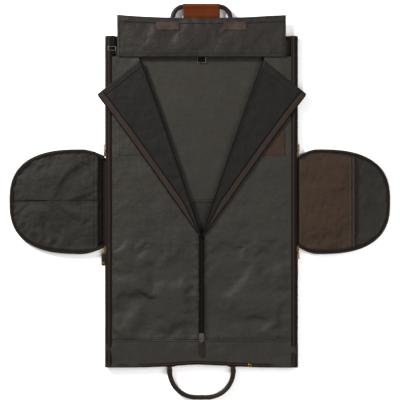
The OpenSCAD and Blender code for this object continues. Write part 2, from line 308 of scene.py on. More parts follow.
def hook_loop(name, colour):
    """The fuzzy side of hook and loop tape."""
    s = Shader(name, rough=0.9, specular=0.06)
    cells = s.add("ShaderNodeTexVoronoi")
    cells.inputs["Scale"].default_value = 620
    s.link(s.coords, cells.inputs["Vector"])
    loops = s.noise(500, 5, 0.8)
    s.colour(s.tint(loops, 0.3, 0.75, colour, 0.35, 0.35))
    s.bump([(loops, 0.8, 0.8), (cells.outputs["Distance"], 0.6, 0.6)])
    return s.material


def flat_board(name, colour):
    """Plain board with fine flecks."""
    s = Shader(name, rough=0.6)
    fleck = s.noise(160, 4, 0.6)
    s.colour(s.tint(fleck, 0.3, 0.7, colour, 0.2, 0.2))
    s.bump([(fleck, 0.2, 0.3)])
    return s.material


LINING = fabric("lining_cloth", linear(57, 54, 49), creases=0.28)
# The lower half's lining is painted darker: painted shade for the shade that falls on it below the seam,
# between the lapels.
LINING_PAINTED_SHADE = fabric("lining_painted_shade_cloth", linear(44, 42, 39), creases=0.5)
CAP_LINING = fabric("cap_lining_cloth", linear(47, 44, 40), rough=0.75, creases=0.8)
COVER = fabric("cover_cloth", linear(57, 54, 49), creases=0.7)
FLAP = fabric("flap_cloth", linear(49, 45, 41), creases=0.7)
LAPEL = fabric("lapel_twill", linear(32, 31, 28), rough=0.7, diagonal=True, creases=0.6)
SHELL = fabric("shell_twill", linear(43, 38, 33), pitch=1.5, diagonal=True, bump=0.7, creases=0.6)
SUEDE = fabric("brown_pocket_cloth", linear(63, 49, 39), contrast=0.42, rough=0.8)
BINDING = tape("binding_tape", linear(37, 30, 27))
RIM_TAPE = tape("cap_rim_tape", linear(25, 21, 18))
PIPING = tape("brown_piping", linear(76, 57, 51), pitch=1.0)
ZIP_TAPE = tape("zip_tape", linear(59, 49, 44), pitch=1.2)
DARK_TAPE = tape("dark_tape", linear(17, 14, 13), pitch=1.2)
THREAD = tape("thread", linear(84, 76, 66), pitch=0.8, axis="X")
PALE_THREAD = tape("pale_thread", linear(112, 102, 90), pitch=0.8, axis="X")
DARK_THREAD = tape("dark_thread", linear(26, 23, 20), pitch=0.8, axis="X")
TEETH = metal("zip_teeth_nickel", linear(76, 67, 58), 0.42)
BRASS = metal("brass_hardware", linear(196, 150, 78), 0.3)
NICKEL = metal("nickel_hardware", linear(134, 130, 124), 0.32)
TAN = leather("tan_leather", linear(104, 46, 12), 0.6, 0.05)
DARK_LEATHER = leather("dark_leather", linear(41, 28, 21), 0.5, 0.12)
PATCH = hook_loop("hook_and_loop", linear(74, 62, 56))
BOARD = flat_board("stiffener_board", linear(110, 98, 84))
WEBBING = tape("black_webbing", linear(22, 19, 17))


def floor():
    bpy.ops.mesh.primitive_plane_add(size=14, location=(0, 0, -0.0006))
    plane = bpy.context.object
    plane.name = "floor"
    s = Shader("pale_floor", rough=0.9, specular=0.1)
    s.colour(s.ramp(s.noise(3, 2), 0.2, 0.8, (0.93, 0.93, 0.93), (0.95, 0.95, 0.95)))
    plane.data.materials.append(s.material)


floor()


# ------------ mesh helpers
def make(name, verts, faces, material, smooth=True):
    mesh = bpy.data.meshes.new(name)
    mesh.from_pydata([(x * MM, y * MM, z * MM) for x, y, z in verts], [], faces)
    mesh.materials.append(material)
    mesh.validate()
    mesh.update()
    for polygon in mesh.polygons:
        polygon.use_smooth = smooth
    piece = bpy.data.objects.new(name, mesh)
    bpy.context.scene.collection.objects.link(piece)
    return piece


def spread(a, b, step):
    """Even values from a to b, about a step apart."""
    n = max(1, round(abs(b - a) / step))
    return [a + (b - a) * i / n for i in range(n + 1)]


def rows(a, b, step=8.0):
    """Heights from a to b, closer together where the panel folds."""
    marks = sorted({a, b, *[s * z for s in (-1, 1) for z in (ZONE[0] - 4, ZONE[1] + 6) if a < s * z < b]})
    out = [a]
    for low, high in zip(marks, marks[1:]):
        near = ZONE[0] - 6 < abs((low + high) / 2) < ZONE[1] + 8
        out += spread(low, high, 2.8 if near else step)[1:]
    return out


def sheet_mesh(name, columns, top, material, thick, round_edge):
    """A closed sheet under a grid of points that is given row by row."""
    n, m = columns, len(top) // columns
    low = len(top)
    verts = [tuple(p) for p in top] + [(p.x, p.y, p.z - thick) for p in top]
    faces = []
    for j in range(m - 1):
        for i in range(n - 1):
            a = j * n + i
            faces.append((a, a + 1, a + n + 1, a + n))
            faces.append((low + a, low + a + n, low + a + n + 1, low + a + 1))
    ring = [i for i in range(n)] + [j * n + n - 1 for j in range(1, m)]
    ring += [(m - 1) * n + i for i in range(n - 2, -1, -1)] + [j * n for j in range(m - 2, 0, -1)]
    count = len(ring)
    if round_edge:
        mid = len(verts)
        for k, a in enumerate(ring):
            before, after = top[ring[k - 1]], top[ring[(k + 1) % count]]
            along = (after - before).normalized() if (after - before).length else Vector((1, 0, 0))
            p = top[a]
            verts.append((p.x + along.y * thick * 0.4, p.y - along.x * thick * 0.4, p.z - thick / 2))
        for k in range(count):
            a, b = ring[k], ring[(k + 1) % count]
            c, d = mid + k, mid + (k + 1) % count
            faces.append((b, a, c, d))
            faces.append((d, c, low + a, low + b))
    else:
        upper = len(verts)
        verts += [tuple(top[a]) for a in ring]
        lower = len(verts)
        verts += [(top[a].x, top[a].y, top[a].z - thick) for a in ring]
        for k in range(count):
            j = (k + 1) % count
            faces.append((upper + j, upper + k, lower + k, lower + j))
    return make(name, verts, faces, material)


def cloth(name, us, vs, place, material, thick=1.2, round_edge=True):
    """A closed cloth sheet. place(u, v) gives its upper face in millimetres; the lower face lies under it."""
    top = [Vector(place(u, v)) for v in vs for u in us]
    return sheet_mesh(name, len(us), top, material, thick, round_edge)


SETTLING_FRAMES = 22


def rumpled(us, vs, place, slack, limit, sink, stiffness=0.12, hold=None):
    """The grid place(u, v) settled as cloth cut larger than the frame that holds its rim, so that it buckles.

    slack is the extra share of cloth. limit and sink are the most that it may rise and sink, in
    millimetres, and hold(u, v) says which points a seam holds besides the rim."""
    flat = [Vector(place(u, v)) for v in vs for u in us]
    n, m = len(us), len(vs)
    quads = [(j * n + i, j * n + i + 1, (j + 1) * n + i + 1, (j + 1) * n + i)
             for j in range(m - 1) for i in range(n - 1)]
    mesh = bpy.data.meshes.new("settling")
    mesh.from_pydata([tuple(p * MM) for p in flat], [], quads)
    piece = bpy.data.objects.new("settling", mesh)
    bpy.context.scene.collection.objects.link(piece)
    held = piece.vertex_groups.new(name="held")
    seams = [j * n + i for j in range(m) for i in range(n)
             if i in (0, n - 1) or j in (0, m - 1) or (hold and hold(us[i], vs[j]))]
    held.add(seams, 1.0, "ADD")
    settings = piece.modifiers.new("cloth", "CLOTH").settings
    settings.vertex_group_mass = "held"
    settings.shrink_min = -slack
    settings.quality = 6
    settings.mass = 0.2
    settings.tension_stiffness = 20
    settings.compression_stiffness = 20
    settings.shear_stiffness = 8
    settings.bending_stiffness = stiffness
    settings.effector_weights.gravity = 0
    scene = bpy.context.scene
    for frame_number in range(1, SETTLING_FRAMES + 1):
        scene.frame_set(frame_number)
    settled = piece.evaluated_get(bpy.context.evaluated_depsgraph_get()).data
    moved = [v.co / MM for v in settled.vertices]
    bpy.data.objects.remove(piece)
    scene.frame_set(1)
    out = []
    for before, after in zip(flat, moved):
        most = limit if after.z > before.z else sink
        rise = most * math.tanh((after.z - before.z) / most)
        out.append(Vector((after.x, after.y, before.z + rise)))
    return out


def surface_height(piece):
    """A function giving the height of a piece's upper face at a point, in millimetres."""
    corners = [v.co for v in piece.data.vertices]
    tree = BVHTree.FromPolygons(corners, [p.vertices for p in piece.data.polygons])

    def height(x, y, otherwise):
        hit = tree.ray_cast(Vector((x * MM, y * MM, 1.0)), Vector((0, 0, -1)))[0]
        return hit.z / MM if hit else otherwise

    return height


def tube(name, path, radius, material, sides=8, flatten=1.0, closed=False):
    """A round bar along a path of points; radius may be a function of the share of the way along."""
    points = [Vector(p) for p in path]
    n = len(points)
    verts, faces = [], []
    side = None
    for k, p in enumerate(points):
        before = points[k - 1] if (k or closed) else p
        after = points[(k + 1) % n] if (k < n - 1 or closed) else p
        along = (after - before).normalized()
        if side is None:
            side = along.cross(Vector((0, 0, 1)))
            side = side.normalized() if side.length > 1e-6 else Vector((1, 0, 0))
        side = (side - along * side.dot(along)).normalized()
        up = side.cross(along).normalized()
        r = radius(k / max(1, n - 1)) if callable(radius) else radius
        for s in range(sides):
            t = 2 * math.pi * s / sides
            verts.append(tuple(p + side * (r * math.cos(t)) + up * (r * flatten * math.sin(t))))
    for k in range(n if closed else n - 1):
        for s in range(sides):
            a, b = k * sides + s, k * sides + (s + 1) % sides
            c, d = ((k + 1) % n) * sides + s, ((k + 1) % n) * sides + (s + 1) % sides
            faces.append((a, b, d, c))
    if not closed:
        faces.append(tuple(range(sides - 1, -1, -1)))
        faces.append(tuple((n - 1) * sides + s for s in range(sides)))
    return make(name, verts, faces, material)


def along_path(path, step):
    """Points at an even step along a path, each with its direction."""
    points = [Vector(p) for p in path]
    out, carry = [], 0.0
    for a, b in zip(points, points[1:]):
        length = (b - a).length
        if length < 1e-6:
            continue
        t = carry
        while t < length:
            out.append((a + (b - a) * (t / length), (b - a).normalized()))
            t += step
        carry = t - length
    return out


def blocks(name, places, material, smooth=False):
    """Small bevelled blocks; each place is (centre, direction, length, width, height)."""
    verts, faces = [], []
    for centre, along, length, width, height in places:
        side = Vector((along.y, -along.x, 0))
        side = side.normalized() if side.length else Vector((1, 0, 0))
        up = side.cross(along).normalized()
        if up.z < 0:
            up = -up
        base = len(verts)
        for level, shrink in ((-0.5, 1.0), (0.2, 1.0), (0.5, 0.6)):
            for sx, sy in ((-1, -1), (1, -1), (1, 1), (-1, 1)):
                p = centre + along * (sx * length / 2 * shrink) + side * (sy * width / 2 * shrink)
                verts.append(tuple(p + up * (height * level)))
        for ring in (0, 4):
            for k in range(4):
                a, b = base + ring + k, base + ring + (k + 1) % 4
                faces.append((a, b, b + 4, a + 4))
        faces.append((base + 3, base + 2, base + 1, base))
        faces.append((base + 8, base + 9, base + 10, base + 11))
    return make(name, verts, faces, material, smooth)


def stitches(name, path, material, pitch=4.2, length=2.6, width=0.8, height=0.7):
    return blocks(name, [(p, d, length, width, height) for p, d in along_path(path, pitch)], material, True)


def wear(body, slot, *pieces):
    """Fix pieces to a body. The slot is not used."""
    for piece in pieces:
        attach(piece, body)


def bend(a, b, start, end, slot, *pieces):
    """Bake each piece's placement into its mesh. The bodies a and b, the span from start to end in
    millimetres and the slot are not used.
    """
    for piece in pieces:
        tuple(c * MM for c in start)
        tuple(c * MM for c in end)
        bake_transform(piece)


def across(half, slot, *pieces):
    """Hand pieces to bend with the span where the upper or the lower section folds up from the base."""
    way = 1 if half == "upper" else -1
    bend("base", half, (0, way * ZONE[0], 0), (0, way * ZONE[1], 0), slot, *pieces)


def word_of(side):
    return "left" if side < 0 else "right"


def facing_up(side, us):
    """Columns in the order that keeps a mirrored sheet's upper face up."""
    return us if side > 0 else us[::-1]


def raised(points, rise):
    return [(x, y, z + rise) for x, y, z in points]


# ------------ the cloth's shared lie
def ripple(x, y, seed, wide, tall):
    """Smooth noise between about -1 and 1, with waves of the given width and length."""
    return noise.noise(Vector((x / wide, y / tall, seed)))


def lie(x, y):
    """How far the covers and the lapels on them rise or sink from flat."""
    broad = 1.5 * ripple(x, y, 3.1, 150, 190)
    folds = 1.3 * ripple(x + 0.35 * y, y, 8.7, 46, 110)
    small = 0.4 * ripple(x, y, 5.5, 24, 34)
    low = min(1.0, max(0.0, (-y - 60) / 120))
    sway = 2.4 * ripple(x + 0.45 * y, y + 0.12 * x, 27.3, 110, 46)
    crossing = 0.9 * ripple(x - 0.5 * y, y, 33.3, 60, 30)
    return (broad + folds + small) * calm(x, y) + low * (sway + crossing)


def calm(x, y):
    """The covers lie flatter close to the fold that the lapels turn on."""
    above = min(1.0, max(0.0, (y - APEX) / 40))
    return 1 - 0.88 * above * math.exp(-max(0.0, abs(x) - fold_x(y)) / 20)


def lie_low(x, y):
    """The lie of the back lining."""
    return 0.9 * ripple(x, y, 21.4, 120, 210) + 0.5 * ripple(x, y + 0.4 * x, 14.2, 40, 90)


def hem_rise(x, y):
    """How far the bottom edge is drawn in between the handle's legs."""
    near = min(1.0, max(0.0, (-y - 420) / 69))
    return near * near * (8.5 * math.exp(-(x / 105) ** 2) + 1.4 * ripple(x, 0, 12.0, 60, 1))


def fold_x(y):
    """Distance of the lapel's fold from the centre line at a height."""
    straight = FOLD_X * (y - APEX) / (LAPEL_TOP - APEX)
    bow = 3.0 * math.sin(math.pi * min(1, max(0, (y - APEX) / (LAPEL_TOP - APEX))))
    return max(ZIP_GAP - 2.5, straight - bow)


def edge_wobble(y, seed):
    """How far the panel's side edge weaves from straight."""
    return 0.5 * ripple(y, 0, seed, 60, 1)


# ------------ back panel: shell and lining
BACK_NODES = {"upper": {"lining": ("upper_lining", "base_lining"), "shell": ("upper_shell", "base_shell")},
              "lower": {"lining": ("lower_lining",), "shell": ("lower_shell",)}}


def back_sheet(half, kind, inset, height, material, thick, slot):
    """One half of the shell or of the lining, set in from the panel's edge."""
    side_inset, end_inset = inset
    half_width = HALF_W - side_inset
    reach = HALF_L - end_inset
    vs = rows(0.0, reach) if half == "upper" else rows(-reach, 0.0)

    def at(u, v):
        x = u * half_width
        return x, v + hem_rise(x, v), height(x, v)

    sheet = cloth(f"{kind}_{half}", spread(-1, 1, 1 / 38), vs, at, material, thick, False)
    across(half, slot, sheet)
    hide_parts(*BACK_NODES[half][kind])


def lining_height(x, y):
    return LINING_Z + 0.5 + lie_low(x, y)


def shell_height(x, y):
    return LINING_Z - 2.4 + 0.25 * ripple(x, y, 2.2, 60, 60)


# the lower half's lining is the cloth with painted shade
for half, lining_cloth in (("upper", LINING), ("lower", LINING_PAINTED_SHADE)):
    back_sheet(half, "lining", (3, 2), lining_height, lining_cloth, 1.0, "lining")
    back_sheet(half, "shell", (SEAM_ALLOWANCE, 1), shell_height, SHELL, 2.6, "shell_canvas")


def lining_seam():
    """The joining seam of the lining at the panel's middle, with its pressed fold and two rows of thread."""
    half = HALF_W - 30
    ridge = [(x, 2.5, lining_height(x, 2.5) + 0.4) for x in spread(-half, half, 12)]
    wear("base", "lining", tube("lining_seam_ridge", ridge, 1.1, LINING, flatten=0.7))
    for k, y in enumerate((-3.5, 6.5)):
        path = [(x, y, lining_height(x, y) + 0.25) for x in spread(-half, half, 10)]
        wear("base", "binding", stitches(f"lining_seam_thread_{k}", path, DARK_THREAD))


lining_seam()


# ------------ front covers
def cover_height(x, y):
    """The covers' upper face: lifted at the fold, and pressed down towards the side binding."""
    inner = abs(x) - fold_x(y)
    lift = 0.6 * math.exp(-max(0.0, inner) / 14)
    edge = max(0.0, abs(x) - (HALF_W - 22)) / 22
    return COVER_Z + lie(x, y) * (1 - 0.75 * edge) + lift - 0.5 * edge


def cover_sheet(side, half):
    """One half of a cover; the lower one is settled as slack cloth below the opening."""
    a, b = (0.0, COVERS_TOP) if half == "upper" else (COVERS_END, 0.0)

    def at(u, v):
        inner = fold_x(v) if v > APEX + 14 else ZIP_GAP
        x = side * (inner + (HALF_W - SEAM_ALLOWANCE - inner) * u)
        return x, v, cover_height(x, v)

    name = f"cover_cloth_{word_of(side)}_{half}"
    us = facing_up(side, spread(0, 1, 1 / 44))
    vs = rows(a, b, 6)
    if half == "upper":
        return cloth(name, us, vs, at, COVER, COVER_THICK, False)
    free = [v for v in vs if v < APEX]
    settled = rumpled(us, free, at, 0.035, 8.0, 4.0, 2.5, lambda u, v: u > 0.93 or u < 0.02)
    rest = [Vector(at(u, v)) for v in vs[len(free):] for u in us]
    return sheet_mesh(name, len(us), settled + rest, COVER, COVER_THICK, False)


for side in (-1, 1):
    for half, reach, parts in (("upper", COVERS_TOP, ("upper", "base")), ("lower", -COVERS_END, ("lower",))):
        sheet = cover_sheet(side, half)
        across(half, "cover", sheet)
        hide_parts(*(f"cover_{word_of(side)}_{part}" for part in parts))


def hem():
    """The facing below the covers, its turned edge and the stitched seam above it."""
    def height(x, y):
        return FACING_HIGH.z + lie(x, y) * 0.6 + 1.1 * ripple(x, y, 31.0, 38, 30)

    def at(u, v):
        x = u * (HALF_W - SEAM_ALLOWANCE)
        tuck = 1.8 * math.exp(-(FACING_HIGH.y - v) / 5)
        return x, v + hem_rise(x, v), height(x, v) - tuck

    facing = cloth("bottom_hem_facing", spread(-1, 1, 1 / 60), spread(FACING_LOW.y, FACING_HIGH.y + 2, 5.5),
                   at, COVER, COVER_THICK)
    wear("lower", "cover", facing)
    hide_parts("bottom_facing")
    seam_y = FACING_HIGH.y + 3.0

    def on_cover(x, y):
        return cover_height(x, max(y, COVERS_END))

    for k, (y, on) in enumerate(((seam_y + 2.5, on_cover), (seam_y - 9, height))):
        for side in (-1, 1):
            path = [(side * x, y, on(side * x, y) + 0.35) for x in spread(12, HALF_W - 22, 9)]
            wear("lower", "binding", stitches(f"hem_thread_{k}_{word_of(side)}", path, DARK_THREAD))


hem()


# ------------ lapels
# the right lapel lying open: its outer corner, and the point where it meets the zip
CORNER = Vector((309.4, 317.2, 0))
TIP = Vector((3.5, APEX + 6, 0))


def lapel_point(u, v):
    """u runs from the fold to the free edge and v from the top edge to the tip, for the right lapel."""
    y_fold = LAPEL_TOP + (TIP.y - LAPEL_TOP) * v
    root = Vector((fold_x(y_fold), y_fold, 0))
    free = CORNER.lerp(TIP + Vector((5.4, 8.8, 0)), v)
    bow = 5.0 * math.sin(math.pi * v) * (1 - v)
    free += Vector((-0.79, 0.61, 0)) * bow
    return root.lerp(free, u)


def lapel_height(x, y, u, v):
    """The lapel's upper face: rolled up at its fold, curled at its free edge, flat near its point."""
    width = (lapel_point(1, v) - lapel_point(0, v)).length
    from_fold = u * width
    roll = 2.6 * math.exp(-from_fold / 8)
    curl = 0.5 * max(0.0, u - 0.85) / 0.15
    own = 0.5 * ripple(x, y, 41.0, 34, 60)
    near_point = min(1.0, width / 40)
    return LAPEL_Z + 0.35 + (lie(x, y) + own * calm(x, y)) * near_point + roll + curl * near_point


TAPE_BAND = 19.0


def lapel(side):
    word = word_of(side)
    long_way = spread(0.012, 0.985, 1 / 90)

    def at(u, v):
        p = lapel_point(u, v)
        if side < 0:
            p.x *= 0.992
            p.y -= 1.2 * u * (1 - v)
        return side * p.x, p.y, lapel_height(side * p.x, p.y, u, v)

    def band_at(u, v):
        """On the zip tape, from the free edge inwards."""
        width = max(6.0, (lapel_point(1, v) - lapel_point(0, v)).length)
        x, y, z = at(1 - min(0.55, TAPE_BAND / width) * u, v)
        return x, y, z + 0.55 - 0.15 * math.cos(2 * math.pi * u)

    def hem_at(u, v):
        """On the turned hem along the top edge."""
        x, y, z = at(0.02 + 0.95 * v, 0.001 + 0.034 * u)
        return x, y, z + 0.55

    def fit(slot, *pieces):
        bend(f"lapel_{word}_top", f"lapel_{word}_foot", (0, ZONE[1], 0), (0, ZONE[0], 0), slot, *pieces)

    us, vs = facing_up(-side, spread(0, 1, 1 / 26)), spread(0, 1, 1 / 110)
    sheet = cloth(f"lapel_{word}", us, vs, at, LAPEL, 1.2)
    top_hem = cloth(f"lapel_{word}_top_hem", spread(0, 1, 1 / 4), facing_up(side, spread(0, 1, 1 / 26)),
                    hem_at, LAPEL, 0.8)
    root = [at(0, v) for v in spread(0, 1, 1 / 80)]
    # The near-black cord tucked under the fold's edge is painted shadow: a dark piece that stands in for the
    # shade along the lapel's fold.
    roll = tube(f"lapel_{word}_roll", [(x - side * 0.9, y, z - 1.1) for x, y, z in root], 1.6, DARK_TAPE, 10)
    fit("lapel", sheet, top_hem, roll)

    strip_us = facing_up(side, spread(0, 1, 1 / 6))
    strip = cloth(f"lapel_{word}_zip_tape", strip_us, long_way, band_at, ZIP_TAPE, 0.7)
    inner = raised([band_at(1.0, v) for v in long_way], -0.2)
    outer = [band_at(0.0, v) for v in long_way]
    middle = raised([band_at(0.62, v) for v in spread(0.02, 0.97, 1 / 90)], 0.2)
    hem_row = raised([hem_at(0.8, v) for v in spread(0, 1, 1 / 30)], 0.25)
    fold_row = raised([at(0.05, v) for v in spread(0.05, 0.8, 1 / 60)], 0.25)
    fit("binding", strip,
        tube(f"lapel_{word}_tape_cord", inner, 1.5, DARK_TAPE),
        tube(f"lapel_{word}_tooth_cord", raised(outer, 0.1), 1.7, DARK_TAPE),
        stitches(f"lapel_{word}_tape_thread", middle, THREAD),
        stitches(f"lapel_{word}_hem_thread", hem_row, THREAD),
        stitches(f"lapel_{word}_fold_thread", fold_row, DARK_THREAD))
    teeth = [(p + Vector((0, 0, 0.3)), Vector((d.y, -d.x, 0)).normalized(), 3.0, 1.5, 1.5)
             for p, d in along_path(outer, 2.9)]
    fit("zip_teeth", blocks(f"lapel_{word}_teeth", teeth, TEETH))

    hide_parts(f"lapel_{word}_upper", f"lapel_{word}_lower")


for side in (-1, 1):
    lapel(side)


# ------------ top flap
def flap_point(u, v):
    """u is -1 to 1 across the flap, v is 0 at its seam and 1 at its free edge."""
    half = (FLAP_HIGH.x - 1.0) * (1 + 0.006 * v)
    x = u * half
    edge = FLAP_HIGH.y - 8.0 + 9.0 * abs(u) ** 2.2 + 1.5 * ripple(x, 0, 51.0, 70, 1)
    y = FLAP_LOW.y - 4 + (edge - FLAP_LOW.y + 4) * v
    drape = 1.6 * math.sin(math.pi * v) * (0.5 + 0.5 * math.cos(math.pi * u * 0.9))
    own = 2.6 * ripple(x, y, 61.0, 85, 60) + 1.8 * ripple(x + 0.6 * y, y, 66.0, 32, 60)
    lifted = (own + math.sqrt(own * own + 0.6)) / 2
    return x, y, FLAP_HIGH.z - 0.4 + lifted * min(1, 0.3 + v) + 0.3 * drape


PATCH_WIDTH = 66.0


def flap():
    us, vs = spread(-1, 1, 1 / 50), spread(0, 1, 1 / 24)
    settled = rumpled(us, vs, flap_point, 0.02, 4.0, 0.3)
    sheet = sheet_mesh("flap_cloth_panel", len(us), settled, FLAP, 1.2, True)
    height_on = surface_height(sheet)
    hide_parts("top_flap")

    def lifted(u, v, z):
        x, y, h = flap_point(u, v)
        return x, y, height_on(x, y, h) + z

    hem_strip = cloth("flap_top_hem", spread(-0.985, 0.985, 1 / 48), spread(0.84, 0.985, 0.05),
                      lambda u, v: lifted(u, v, 0.5), FLAP, 0.7)
    wear("flap", "cover", sheet, hem_strip)
    for name, v, rise in (("hem", 0.855, 0.75), ("edge", 0.965, 0.75), ("seam", 0.08, 0.3)):
        path = [lifted(u, v, rise) for u in spread(-0.98, 0.98, 0.02)]
        wear("flap", "binding", stitches(f"flap_{name}_thread", path, DARK_THREAD))
    low, high = size_of("flap_patches")
    for side in (-1, 1):
        word = word_of(side)
        side_row = [lifted(side * 0.975, v, 0.3) for v in spread(0.04, 0.96, 0.04)]
        x0 = side * (high.x - PATCH_WIDTH / 2)

        def patch_at(u, v, x0=x0):
            x = x0 + u * PATCH_WIDTH / 2
            y = low.y + (high.y - low.y) * v
            flap_v = (y - FLAP_LOW.y + 4) / (FLAP_HIGH.y - 6 - FLAP_LOW.y + 4)
            z = height_on(x, y, flap_point(x / FLAP_HIGH.x, flap_v)[2])
            return x, y, z + 1.3 + 0.15 * ripple(x, y, 71, 5, 5)

        patch = cloth(f"flap_patch_{word}", spread(-1, 1, 1 / 12), spread(0, 1, 1 / 9), patch_at, PATCH, 1.5)
        corners = ((-0.93, 0.1), (0.93, 0.1), (0.93, 0.9), (-0.93, 0.9), (-0.93, 0.1))
        outline = [patch_at(u, v) for u, v in corners]
        wear("flap", "hook_loop", patch)
        wear("flap", "binding", stitches(f"flap_side_thread_{word}", side_row, DARK_THREAD),
             stitches(f"flap_patch_thread_{word}", raised(outline, 0.2), DARK_THREAD, 3.4, 2.2, 0.7, 0.6))
        if side < 0:
            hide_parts("flap_patches")


flap()

# the flap's seam and the top binding under it
for node, name in (("flap_seam_tape", "flap_seam_gusset"), ("top_binding", "top_edge_binding")):
    low, high = size_of(node)
    piece = cloth(name, spread(low.x, high.x, 14), spread(low.y, high.y - 1.2, 2.4),
                  lambda u, v, z=high.z: (u, v, z - 1.0 + 0.5 * ripple(u, v, 81, 22, 9)), BINDING,
                  high.z - low.z - 1.2)
    wear("upper", "binding", piece)
    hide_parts(node)


# ------------ edge bindings and side zips
def wrap_profile(side, y, top_z, wobble):
    """The binding's section round a side edge: from the cover, over the edge and under the shell."""
    w = HALF_W + wobble
    section = [(w - 17, top_z + 0.15), (w - 16.6, top_z + 0.9), (w - 8, top_z + 1.2), (w - 1.5, top_z + 0.6),
               (w + 1.2, top_z - 1.6), (w + 1.6, top_z - 5), (w + 1.3, 4.0), (w, 1.4), (w - 3, 0.25),
               (w - 16, 0.05), (w - 16, 1.2), (w - 4, 2.4), (w - 2, 5.0), (w - 2, top_z - 4),
               (w - 5, top_z - 1.4)]
    return [(side * x, y, z) for x, z in section]


def loft(name, sections, material, ends=(True, True)):
    """A skin through closed sections, with an end face at the ends that are asked for."""
    n = len(sections[0])
    verts = [p for section in sections for p in section]
    faces = []
    for k in range(len(sections) - 1):
        for i in range(n):
            a, b = k * n + i, k * n + (i + 1) % n
            faces.append((a, a + n, b + n, b))
    if ends[0]:
        faces.append(tuple(range(n)))
    if ends[1]:
        faces.append(tuple(range(len(verts) - 1, len(verts) - n - 1, -1)))
    piece = make(name, verts, faces, material)
    mesh = bmesh.new()
    mesh.from_mesh(piece.data)
    bmesh.ops.recalc_face_normals(mesh, faces=mesh.faces)
    mesh.to_mesh(piece.data)
    mesh.free()
    return piece


def edge_top(side, y):
    """The height of the cloth that a side binding wraps."""
    x = side * (HALF_W - 9)
    if COVERS_END < y < COVERS_TOP:
        return cover_height(x, y)
    return COVER_Z - 0.6 + 0.5 * lie(x, y)


SIDE_NODES = {"upper": ("side_zips_upper", "base_side_strips"), "lower": ("side_zips_lower",)}


def side_edge(side, half):
    """The binding, piping and zip row along one side edge of the upper or the lower half."""
    a, b = (0.0, HALF_L) if half == "upper" else (-HALF_L, 0.0)
    tag = f"{word_of(side)}_{half}"
    ys = rows(a, b, 7)
    zip_ys = [y for y in ys if abs(y) >= FOLD + 2]

    def wobble(y):
        return edge_wobble(y, 91 + side)

    def line(inset, rise):
        return [(side * (HALF_W - inset + wobble(y)), y, edge_top(side, y) + rise) for y in ys]

    sections = [wrap_profile(side, y, edge_top(side, y), wobble(y)) for y in ys]
    binding = loft(f"side_binding_{tag}", sections, BINDING, (half == "lower", half == "upper"))
    cord = [(side * (HALF_W + 2.2 + wobble(y)), y, 9.0) for y in zip_ys]
    across(half, "binding", binding,
           stitches(f"side_thread_{tag}_0", line(14.2, 1.25), DARK_THREAD),
           stitches(f"side_thread_{tag}_1", line(3.6, 1.25), DARK_THREAD),
           tube(f"side_piping_{tag}", line(8.6, 1.2), 1.3, PIPING),
           tube(f"side_zip_cord_{tag}", cord, 1.2, DARK_TAPE))
    teeth = [(p + Vector((side * 0.7, 0, 0)), Vector((1, 0, 0)), 2.4, 1.6, 2.6)
             for p, d in along_path(cord, 3.0)]
    across(half, "zip_teeth", blocks(f"side_zip_teeth_{tag}", teeth, TEETH))
    if side < 0:
        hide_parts(*SIDE_NODES[half])


for side in (-1, 1):
    for half in ("upper", "lower"):
        side_edge(side, half)


def end_binding(name, sy, body, top_z, seed, node=None):
    """The rolled binding along the panel's top or bottom edge."""
    half_x = HALF_W - 1

    def end_shift(x):
        return hem_rise(x, -HALF_L) if sy < 0 else -0.4 + 0.3 * ripple(x, 0, seed, 90, 1)

    def top_at(x):
        return top_z + 0.9 * ripple(x, 0, seed + 4, 40, 1)

    def line(inset, short):
        return [(x, sy * (HALF_L - inset) + end_shift(x), top_at(x) + 0.9)
                for x in spread(-half_x + short, half_x - short, 8)]

    sections = []
    for x in spread(-half_x, half_x, 8):
        t = top_at(x)
        profile = [(-11, t - 0.4), (-10.6, t + 0.5), (-5, t + 0.9), (-0.5, t), (0.7, t - 2.5), (0.8, 5),
                   (0.0, 1.4), (-2, 0.2), (-11, 0.1), (-11, 1.4), (-3, 2.6), (-1.4, 6), (-2, t - 3)]
        sections.append([(x, sy * (HALF_L + out) + end_shift(x), z) for out, z in profile])
    piece = loft(name, sections, BINDING)
    wear(body, "binding", piece,
         stitches(f"{name}_thread_0", line(9.0, 4), DARK_THREAD),
         stitches(f"{name}_thread_1", line(2.6, 4), DARK_THREAD),
         tube(name + "_piping", line(5.6, 2), 1.2, PIPING))
    if node:
        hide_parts(node)


end_binding("bottom_edge_binding", -1, "lower", 14.4, 101, "bottom_binding")
end_binding("top_edge_binding_low", 1, "upper", 8.5, 111)


# ------------ centre zip
def centre_zip():
    ys = rows(COVERS_END + 1, APEX + 16, 6)
    for side in (-1, 1):
        word = word_of(side)

        def beside(x, rise, side=side):
            return [(side * x, y, cover_height(side * 9, y) + rise) for y in ys]

        def at(u, v, side=side):
            z = cover_height(side * 9, v) + 0.35 + 0.35 * math.sin(math.pi * u) - 0.9 * (1 - u) ** 2
            return side * (3.2 + 4.6 * u), v, z

        strip = cloth(f"centre_zip_tape_{word}", facing_up(side, spread(0, 1, 1 / 5)), ys, at, DARK_TAPE, 0.9)
        cord = beside(2.2, -0.5)
        stagger = 0 if side < 0 else 1.45
        teeth = [(Vector((side * 1.0, p.y + stagger, p.z + 0.2)), Vector((1, 0, 0)), 2.6, 1.5, 1.8)
                 for p, d in along_path(cord, 2.9)]
        row = blocks(f"centre_zip_teeth_{word}", teeth, TEETH)
        across("lower", "zip_teeth", row)
        across("lower", "binding", strip, tube(f"centre_zip_cord_{word}", cord, 1.0, DARK_TAPE),
               stitches(f"centre_zip_thread_{word}_0", beside(9.0, 0.75), DARK_THREAD),
               stitches(f"centre_zip_thread_{word}_1", beside(13.5, 0.75), DARK_THREAD))
        if side < 0:
            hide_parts("centre_zip_base", "centre_zip_lower")


centre_zip()


# ------------ patch pockets on the covers
POCKET_WIDTH = 96.0


